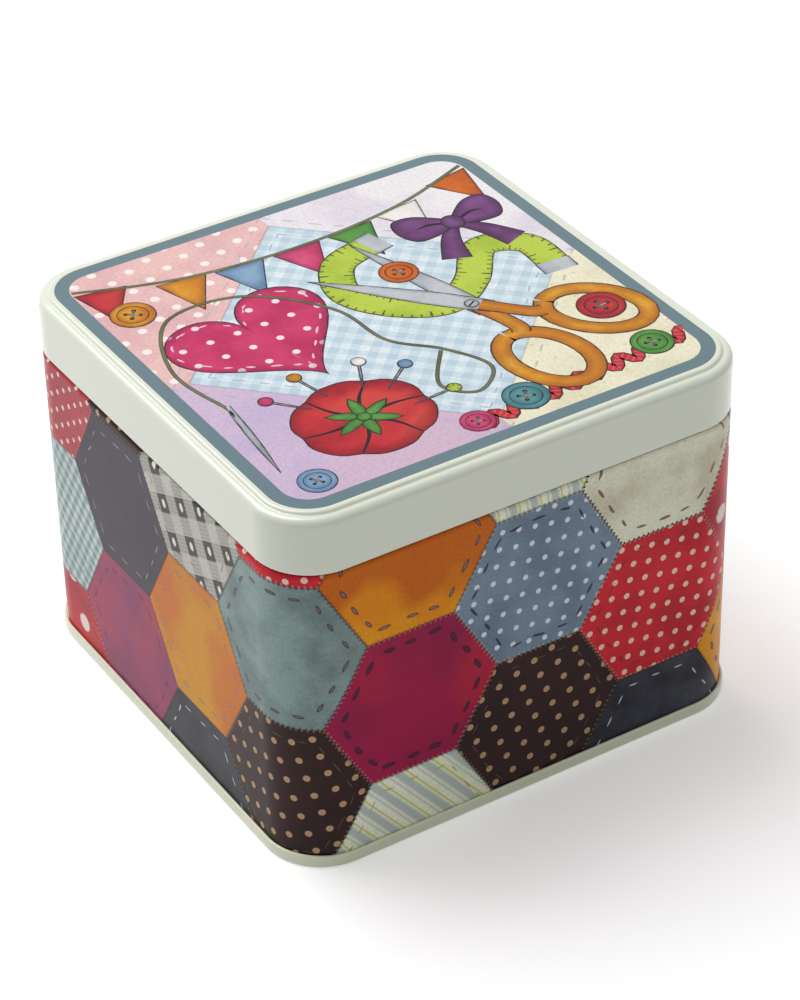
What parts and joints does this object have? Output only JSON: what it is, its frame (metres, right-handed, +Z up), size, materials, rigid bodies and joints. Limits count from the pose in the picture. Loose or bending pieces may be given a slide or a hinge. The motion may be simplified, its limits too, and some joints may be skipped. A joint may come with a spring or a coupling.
{
  "type": "sewing tin",
  "caption": "Square tinplate box with rounded corners, a seamed-in base, a stepped-in neck and a lift-off lid that sits flush with the walls.",
  "frame": {"origin": "middle of the footprint, at the level of the foot that the tin stands on", "axes": "+Z up, out of the lid; -Y out of the front wall; +Y out of the back wall, which has the lock seam"},
  "size_m": [0.1268, 0.1268, 0.097],
  "materials": {
    "printed_wall": "gloss",
    "cream_lacquer": "gloss",
    "lid_print": "gloss",
    "bare_tinplate": "satin"
  },
  "bodies": {
    "tin": {"body_wall": "printed_wall", "base_panel": "cream_lacquer"},
    "lid": {"lid": "cream_lacquer"}
  },
  "joints": [
    {"name": "lid_lift", "type": "slide", "parent": "tin", "child": "lid", "axis": [0, 0, 1], "range_m": [0, 0.04]}
  ]
}
